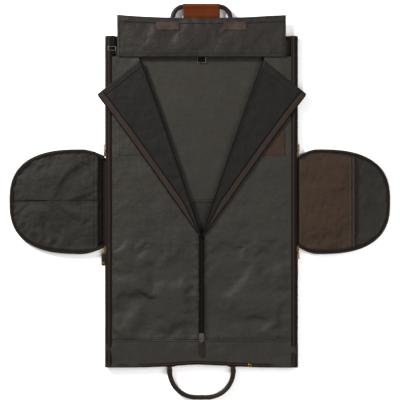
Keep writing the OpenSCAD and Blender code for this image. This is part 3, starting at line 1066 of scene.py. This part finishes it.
def patch_pockets():
    low, high = size_of("cover_pockets")
    y0, y1 = low.y, high.y
    for side, material, thread in ((-1, COVER, DARK_THREAD), (1, SUEDE, THREAD)):
        word = word_of(side)

        def at(u, v, side=side):
            x = side * (high.x - POCKET_WIDTH + POCKET_WIDTH * u)
            puff = 0.5 * math.sin(math.pi * u) * math.sin(math.pi * (v - y0) / (y1 - y0))
            return x, v, cover_height(x, v) + 0.55 + puff

        us = facing_up(side, spread(0, 1, 1 / 16))
        patch = cloth(f"cover_pocket_{word}", us, rows(y0, y1, 6), at, material, 0.8)
        lines = [(f"thread_{word}_{k}", [at(u, v) for u in spread(0.02, 0.98, 0.06)])
                 for k, v in enumerate((y1 - 3, y1 - 10))]
        lines.append((f"side_thread_{word}", [at(0.96, v) for v in spread(y0 + 3, y1 - 3, 6)]))
        across("upper", "pocket", patch,
               *(stitches(f"cover_pocket_{tag}", raised(path, 0.3), thread) for tag, path in lines))
        if side < 0:
            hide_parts("cover_pockets")


patch_pockets()


# ------------ end caps
CAP_DEPTH = CAP_HIGH.x - CAP_LOW.x + 1
CAP_ROOT = CAP_LOW.x - 1
CAP_HALF = CAP_HIGH.y
FLARE = 64.0            # the depth at which the cap is widest
ROOT_HALF = 131.0       # half its width at the hinge
POWER = 2.65            # how square the crown is
CROWN_STEPS = 44


def cap_width(d, inset):
    """Half the cap's width at a depth from its hinge."""
    if d < FLARE:
        return ROOT_HALF + (CAP_HALF - ROOT_HALF) * math.sin(math.pi / 2 * max(0, d) / FLARE) - inset
    u = min(1.0, (d - FLARE) / (CAP_DEPTH - FLARE - inset))
    return (CAP_HALF - inset) * max(0.0, 1 - u ** POWER) ** (1 / POWER)


def cap_loop(inset, start):
    """Points along the rim from one side of the hinge round the crown to the other."""
    ds = [start + (FLARE - start) * i / 10 for i in range(10)]
    reach = CAP_DEPTH - FLARE - inset
    ds += [FLARE + reach * math.sin(math.pi / 2 * i / CROWN_STEPS) ** 0.9 for i in range(CROWN_STEPS + 1)]
    half = [(d, cap_width(d, inset)) for d in ds]
    return half + [(d, -w) for d, w in half[-2::-1]]


def cap_xy(side, d, w):
    """Both caps lie a little to the left, in millimetres and growing over the first part of their depth."""
    lean = (-4.5 if side < 0 else -5.5) * min(1.0, d / 60)
    return side * (CAP_ROOT + d) + lean, w


def cap_wave(side, x, y):
    """The rumpled lie of a cap's inner cloth."""
    return (1.4 * ripple(x, y, 121 + side, 60, 45) + 1.0 * ripple(x + 0.6 * y, y, 131 + side, 26, 70)
            + 0.5 * ripple(x, y, 141 + side, 15, 22))


def cap_floor(side):
    """The cap's outer shell."""
    word = word_of(side)

    def at(u, v):
        d = 1 + (CAP_DEPTH - 1.5) * (1 - (1 - v) ** 1.6)
        x, y = cap_xy(side, d, u * cap_width(d, 0.6))
        return x, y, 4.6 + 0.4 * ripple(x, y, 151, 40, 40) * max(0.0, 1 - u * u)

    us = facing_up(side, spread(-1, 1, 1 / 26))
    shell = cloth(f"cap_{word}_outer_shell", us, spread(0, 1, 1 / 40), at, SHELL, 4.4)
    wear(f"cap_{word}", "shell_canvas", shell)
    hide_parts(f"cap_{word}_shell")


RIM_PROFILE = ((0.0, 1.0), (-0.16, 3.0), (-0.24, 7.5), (-0.16, 12.0))
RIM_INNER_PROFILE = ((0.95, 8.0), (0.8, 3.0), (0.5, 0.6))


def cap_rim(side):
    """The gusset round the cap with its zip, piping and stitching."""
    word = word_of(side)

    def wave(d, w, depth=0.8):
        return depth * ripple(d, w, 161 + side, 34, 34)

    def line(inset, start, height, depth):
        return [(*cap_xy(side, d, w), height + wave(d, w, depth)) for d, w in cap_loop(inset, start)]

    sections = []
    for (d, w), (inner_d, inner_w) in zip(cap_loop(0.0, 1.0), cap_loop(7.5, 1.0)):
        t = 14.0 + wave(d, w)
        crown = ((0.08, t), (0.45, t + 0.6), (0.85, t + 0.2), (1.0, t - 1.0))
        sections.append([(*cap_xy(side, d + (inner_d - d) * f, w + (inner_w - w) * f), z)
                         for f, z in RIM_PROFILE + crown + RIM_INNER_PROFILE])
    rim = loft(f"cap_{word}_rim_gusset", sections, RIM_TAPE)
    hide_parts(f"cap_{word}_rim")
    middle = line(-2.0, 2.0, 7.5, 0.0)
    wear(f"cap_{word}", "binding", rim,
         tube(f"cap_{word}_zip_cord", middle, 1.4, DARK_TAPE),
         tube(f"cap_{word}_piping", line(1.2, 1.0, 13.7, 0.6), 1.2, DARK_LEATHER),
         stitches(f"cap_{word}_rim_thread", line(6.3, 4.0, 14.9, 0.8), THREAD))
    teeth = [(p + Vector((0, 0, 0.2)), Vector((d.y, -d.x, 0)).normalized(), 4.6, 1.6, 2.4)
             for p, d in along_path(middle, 3.0)]
    wear(f"cap_{word}", "zip_teeth", blocks(f"cap_{word}_zip_teeth", teeth, TEETH))


def cap_sheet(name, side, d0, d1, height, material, slack, limit, sink, slot):
    """A panel across a cap from depth d0 to d1, settled with some slack inside its seams."""
    def at(u, v):
        share = 1 - (1 - v) ** 1.5 if d1 > 200 else v
        d = d0 + (d1 - d0) * share
        x, y = cap_xy(side, d, u * cap_width(d, 6.6))
        return x, y, height(x, y, u, (d - d0) / (d1 - d0))

    us = facing_up(side, spread(-1, 1, 1 / 34))
    vs = spread(0, 1, 1 / 56)
    piece = sheet_mesh(name, len(us), rumpled(us, vs, at, slack, limit, sink), material, 1.1, True)
    height_on = surface_height(piece)

    def on(u, v, lift=0.3):
        x, y, z = at(u, v)
        return x, y, height_on(x, y, z) + lift

    wear(f"cap_{word_of(side)}", slot, piece)
    return piece, on


# pressed creases in the left cap's cloth: both ends as depth and width in mm, then how deep and how wide
CAP_CREASES = (
    ((168, 70), (118, 10), 1.8, 5.0),
    ((145, -6), (94, -54), 1.7, 5.0),
    ((156, 0), (138, -38), 1.4, 4.0),
    ((74, -8), (18, -62), 1.9, 5.5),
    ((78, 118), (14, 84), 2.0, 6.0),
    ((232, -50), (196, -34), 1.5, 5.0),
    ((84, -112), (20, -96), 1.6, 6.0),
)


def creased(d, w):
    """How far the pressed creases pull the cloth down at a place on the cap."""
    total = 0.0
    for (d0, w0), (d1, w1), deep, wide in CAP_CREASES:
        along, across = Vector((d1 - d0, w1 - w0)), Vector((d - d0, w - w0))
        t = min(1.0, max(0.0, across.dot(along) / along.length_squared))
        away = (across - along * t).length
        total += deep * math.exp(-(away / wide) ** 2) * (0.35 + 0.65 * math.sin(math.pi * min(1.0, t + 0.25)))
    return total


def left_pocket():
    def height(x, y, u, v):
        edge = max(0.0, 1 - u ** 8)
        seam = -1.6 * math.exp(-(y / 3.2) ** 2)
        puff = 3.2 * (1 - u * u) * math.sin(math.pi * min(1, 0.15 + v * 0.85))
        mouth = 1.0 * math.exp(-v * 16)
        tuck = 2.4 * ripple(x + 0.7 * abs(y), abs(y), 222.0, 26, 80) * u * u * (1 - v)
        pressed = creased(-x - CAP_ROOT, y)
        return 12.9 + (puff + 1.2 * cap_wave(-1, x, y) + tuck - pressed) * edge + seam + mouth

    panel, on = cap_sheet("cap_left_pocket_panel", -1, 16.0, CAP_DEPTH - 8, height, CAP_LINING,
                          0.045, 5.5, 3.0, "lining")
    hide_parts("cap_left_pocket")
    down = spread(0.02, 0.97, 0.012)
    wear("cap_left", "binding",
         stitches("cap_left_seam_thread_0", [on(-0.035, v) for v in down], DARK_THREAD),
         stitches("cap_left_seam_thread_1", [on(0.035, v) for v in down], DARK_THREAD),
         tube("cap_left_seam_ridge", [on(0.0, v, 0.2) for v in spread(0.01, 0.98, 0.012)], 0.9, CAP_LINING),
         # The near-black cord along the pocket's mouth is painted shadow: it stands in for the shade inside
         # the gap at the mouth.
         tube("cap_left_mouth_shadow_cord", [on(u, 0.0, -0.4) for u in spread(-0.99, 0.99, 0.03)], 1.6, DARK_TAPE),
         stitches("cap_left_mouth_thread", [on(u, 0.035) for u in spread(-0.97, 0.97, 0.03)], DARK_THREAD))


def right_pocket():
    end = size_of("cap_right_pocket")[1].x - CAP_ROOT + 1

    def floor_height(x, y, u, v):
        rise = 6.2 * abs(u) ** 5 + 6.2 * max(0.0, (v - 0.86) / 0.14) ** 2
        wave = cap_wave(1, x, y)
        return 6.4 + min(6.0, rise) + 0.5 * (wave + math.sqrt(wave * wave + 0.6)) * (1 - abs(u) ** 4)

    def height(x, y, u, v):
        edge = max(0.0, 1 - u ** 8)
        puff = 1.8 * (1 - u * u) * (0.4 + 0.6 * math.sin(math.pi * v))
        droop = -1.0 * max(0.0, v - 0.85) / 0.15 * (1 - u * u)
        return 13.6 + (puff + 0.8 * cap_wave(2, x, y) + droop) * edge

    base, _ = cap_sheet("cap_right_inner_lining", 1, 3.0, CAP_DEPTH - 8, floor_height, CAP_LINING,
                        0.02, 2.2, 0.4, "lining")
    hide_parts("cap_right_lining")

    panel, on = cap_sheet("cap_right_pocket_panel", 1, 2.0, end, height, SUEDE, 0.018, 2.6, 2.0, "pocket")
    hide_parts("cap_right_pocket")
    wear("cap_right", "pocket", cloth("cap_right_pocket_hem", spread(-0.985, 0.985, 1 / 30),
                                      spread(0.905, 0.999, 0.02), lambda u, v: on(u, v, 0.7), ZIP_TAPE, 1.0))
    for k, v in enumerate((0.918, 0.985)):
        path = [on(u, v, 0.95) for u in spread(-0.97, 0.97, 0.02)]
        wear("cap_right", "binding",
             stitches(f"cap_right_hem_thread_{k}", path, PALE_THREAD, 5.6, 3.6, 1.5, 0.8))


def hinge_webs(side):
    """The two strips of cloth that a cap folds on, over and under the gap."""
    word = word_of(side)
    vs = spread(-ROOT_HALF + 3, ROOT_HALF - 3, 7)
    web_x, under_x = HALF_W - 2.5, HALF_W - 4
    web_width, under_width = CAP_ROOT + 4 - web_x, CAP_ROOT + 6 - under_x

    def web_at(u, v):
        z = (COVER_Z - 1.2) * (1 - u) + 11.2 * u - 3.2 * math.sin(math.pi * u)
        x = web_x + web_width * u
        return side * x, v, z + 0.4 * ripple(x, v, 171 + side, 20, 26)

    def under_at(u, v):
        return side * (under_x + under_width * u), v, 2.2 + 0.5 * math.sin(math.pi * u)

    for name, at, material, thick, slot, width in (
            ("web", web_at, BINDING, 1.2, "binding", web_width),
            ("underside", under_at, SHELL, 1.4, "shell_canvas", under_width)):
        us = facing_up(side, spread(0, 1, 1 / 10))
        strip = cloth(f"cap_{word}_hinge_{name}", us, vs, at, material, thick)
        start, end = (side * (HALF_W - 1), 0, 0), (side * (CAP_ROOT + 3), 0, 0)
        bend("base", f"cap_{word}", start, end, slot, strip)


for side in (-1, 1):
    cap_floor(side)
    cap_rim(side)
    hinge_webs(side)
left_pocket()
right_pocket()


# ------------ handles
def handle_path(legs, reach, corner, root_y, z, sy):
    """A rolled handle's centre line: up one leg, round two soft corners and back down."""
    points = []
    for y in spread(root_y, reach - corner, 6)[:-1]:
        points.append((-legs, sy * y, z))
    for k in range(13):
        t = math.pi / 2 * k / 12
        points.append((-legs + corner * (1 - math.cos(t)), sy * (reach - corner + corner * math.sin(t)), z))
    inner = [(x, sy * reach, z) for x in spread(-legs + corner, legs - corner, 6)[1:-1]]
    points += inner
    return points + [(-x, y, z) for x, y, z in points[:len(points) - len(inner)][::-1]]


def rolled_handle(name, node, body, sy, legs, corner):
    """A leather roll with its seam, from the box of its node."""
    low, high = size_of(node)
    radius = (high.z - low.z) / 2
    z = (high.z + low.z) / 2
    reach = (high.y if sy > 0 else -low.y) - radius
    root = (low.y if sy > 0 else -high.y) + radius
    path = handle_path(legs, reach, corner, root, z, sy)
    bar = tube(name, path, lambda t: radius * (1 - 0.03 * math.sin(60 * t)), DARK_LEATHER, 16)
    seam = stitches(name + "_thread", raised(path[3:-3], radius - 0.1), DARK_THREAD, 4.0, 2.6, 0.9, 0.9)
    ridge = tube(name + "_seam", raised(path[3:-3], radius * 0.93), 1.5, DARK_LEATHER)
    wear(body, "handle", bar, seam, ridge)
    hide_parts(node)


TOP_LEGS, BOTTOM_LEGS = 85.0, 94.0
rolled_handle("handle_top_roll", "top_handle", "handle_top", 1, TOP_LEGS, 34.0)
rolled_handle("handle_bottom_roll", "bottom_handle", "handle_bottom", -1, BOTTOM_LEGS, 78.0)


def grip():
    """The leather wrap: round the handle's back, then flat towards the bag."""
    low, high = size_of("handle_grip")
    handle_low, handle_high = size_of("top_handle")
    radius = (handle_high.z - handle_low.z) / 2 + 1.4
    back = handle_high.y - radius + 1.4
    z = (handle_high.z + handle_low.z) / 2
    tail = low.y
    half = (high.x - low.x) / 2

    sections = []
    for x in spread(-half, half, 4):
        e = min(1.0, (half - abs(x)) / 3.5)
        soft = 0.25 + 0.75 * math.sqrt(max(0.0, 1 - (1 - e) ** 2))
        r = radius - 0.5 * (1 - soft)
        wave = 0.35 * ripple(x, 0, 181, 18, 1)
        tip = tail + 1.5 * (1 - e)
        upper = [(tip, z + 1.9 + wave), (tail + 9, z + 2.8 + wave), (back - 18, z + 4.6 + wave)]
        arc = [(back - r * math.cos(a), z + r * math.sin(a)) for a in
               [math.radians(50 + 13 * k) for k in range(21)]]
        lower = [(back - 18, z - 3.6 + wave), (tail + 9, z - 1.8 + wave), (tip, z - 1.0 + wave)]
        sections.append([(x, y, zz) for y, zz in upper + arc + lower])
    wrap = loft("grip_wrap", sections, TAN)
    across_x = spread(-half + 4, half - 4, 6)
    lines = [("tail", [(x, tail + 12, z + 3.3) for x in across_x]),
             ("back", [(x, back - 17, z + 5.1) for x in across_x])]
    for side in (-1, 1):
        lines.append((word_of(side), [(side * (half - 4), y, zz + 0.5) for _, y, zz in sections[2][:14]]))
    wear("handle_top", "grip", wrap,
         *(stitches(f"grip_thread_{tag}", path, THREAD, 4, 2.8, 0.9, 0.7) for tag, path in lines))
    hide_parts("handle_grip")


grip()


# ------------ tabs, straps and hardware
def soft_slab(name, low, high, material, slot, body, thread=None, node=None):
    """A small strap or tab: rounded corners and edges, a slight crown and its stitched border."""
    cx, cy = (low.x + high.x) / 2, (low.y + high.y) / 2
    hx, hy = (high.x - low.x) / 2, (high.y - low.y) / 2
    thick = high.z - low.z

    def at(u, v):
        squeeze = 1 - 0.06 * abs(u * v) ** 3
        x, y = cx + hx * u * squeeze, cy + hy * v * squeeze
        crown = 0.12 * thick * (1 - u * u) * (1 - v * v)
        return x, y, high.z - 0.12 * thick + crown + 0.1 * ripple(x, y, 191, 6, 6)

    piece = cloth(name, spread(-1, 1, 1 / 8), spread(-1, 1, 1 / 12), at, material, thick * 0.85)
    pieces = [piece]
    if thread:
        corners = ((-0.8, -0.88), (0.8, -0.88), (0.8, 0.88), (-0.8, 0.88), (-0.8, -0.88))
        border = [at(u, v) for u, v in corners]
        pieces.append(stitches(name + "_thread", raised(border, 0.2), thread, 3.2, 2.1, 0.7, 0.6))
    wear(body, slot, *pieces)
    if node:
        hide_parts(node)


def slab_for(name, node, material, slot, body, thread):
    """A slab that fills the box of a node and stands for it."""
    low, high = size_of(node)
    soft_slab(name, low, high, material, slot, body, thread, node)


slab_for("hanger_webbing", "hanger_tab", WEBBING, "webbing", "upper", DARK_THREAD)
slab_for("centre_pull_strip", "centre_pull_leather", DARK_LEATHER, "tab", "pull_centre", THREAD)
slab_for("side_pull_strip", "pull_left_lower_tab", DARK_LEATHER, "tab", "pull_ll", THREAD)
low, high = size_of("corner_strap")
soft_slab("corner_webbing", low, Vector((high.x, high.y, low.z + 2.6)), WEBBING, "webbing", "upper",
          DARK_THREAD, "corner_strap")

# the webbing that wraps the hanger ring's sides and leaves its lower bar bare
low, high = size_of("hanger_ring")
soft_slab("hanger_ring_sleeve", Vector((low.x + 1, low.y + 4.2, low.z - 0.5)),
          Vector((high.x - 1, high.y - 5.6, high.z + 0.5)), WEBBING, "webbing", "ring_hanger")


def handle_ends(place, body, sy, legs):
    """The leather tabs under a handle's legs and the collars between the bag and the handle."""
    low, high = size_of(f"{place}_handle_tabs")
    bar_low, bar_high = size_of(f"{place}_handle")
    root = (bar_low.y if sy > 0 else -bar_high.y) + 7
    middle = (bar_low.z + bar_high.z) / 2
    for side in (-1, 1):
        soft_slab(f"{place}_handle_tabs_{word_of(side)}", Vector((side * legs - 17, low.y, low.z)),
                  Vector((side * legs + 17, high.y, high.z)), DARK_LEATHER, "tab", body,
                  node=f"{place}_handle_tabs" if side < 0 else None)
        path = [(side * legs, sy * y, middle) for y in spread(HALF_L - 3, root + 9, 1.5)]
        collar = tube(f"{place}_handle_collar_{word_of(side)}", path,
                      lambda t: 5.6 + 2.2 * min(1, t * 2.2) + 0.15 * math.sin(t * 40), DARK_LEATHER, 16)
        bend(body, f"handle_{place}", (0, sy * HALF_L, 0), (0, sy * (root + 6), 0), "handle", collar)


handle_ends("top", "upper", 1, TOP_LEGS)
handle_ends("bottom", "lower", -1, BOTTOM_LEGS)


def brass_ring(name, body, centre, radius, thick, sides):
    """A small closed ring lying flat."""
    turn = [2 * math.pi * k / sides for k in range(sides)]
    path = [(centre[0] + radius * math.cos(a), centre[1] + radius * math.sin(a), centre[2]) for a in turn]
    wear(body, "brass", tube(name, path, thick, BRASS, closed=True))


low, high = size_of("pull_left_lower_tab")
brass_ring("bottom_edge_snap", "lower", (142, -HALF_L + 6, COVER_Z + 1.3), 4.2, 1.2, 28)
brass_ring("side_pull_eyelet", "pull_ll", ((low.x + high.x) / 2, low.y + 7, high.z + 0.1), 2.6, 0.8, 24)

HARDWARE = {"centre_slider": NICKEL, "centre_pull_link": NICKEL, "hanger_ring": NICKEL, "corner_ring": NICKEL,
            "pull_left_upper": BRASS, "pull_left_lower_eye": BRASS, "pull_right_upper": BRASS,
            "pull_right_lower": BRASS, "slider_left_upper": BRASS, "slider_left_lower": BRASS,
            "slider_right_upper": BRASS, "slider_right_lower": BRASS, "base_board": BOARD}
for node, material in HARDWARE.items():
    NODES[node].data.materials.clear()
    NODES[node].data.materials.append(material)
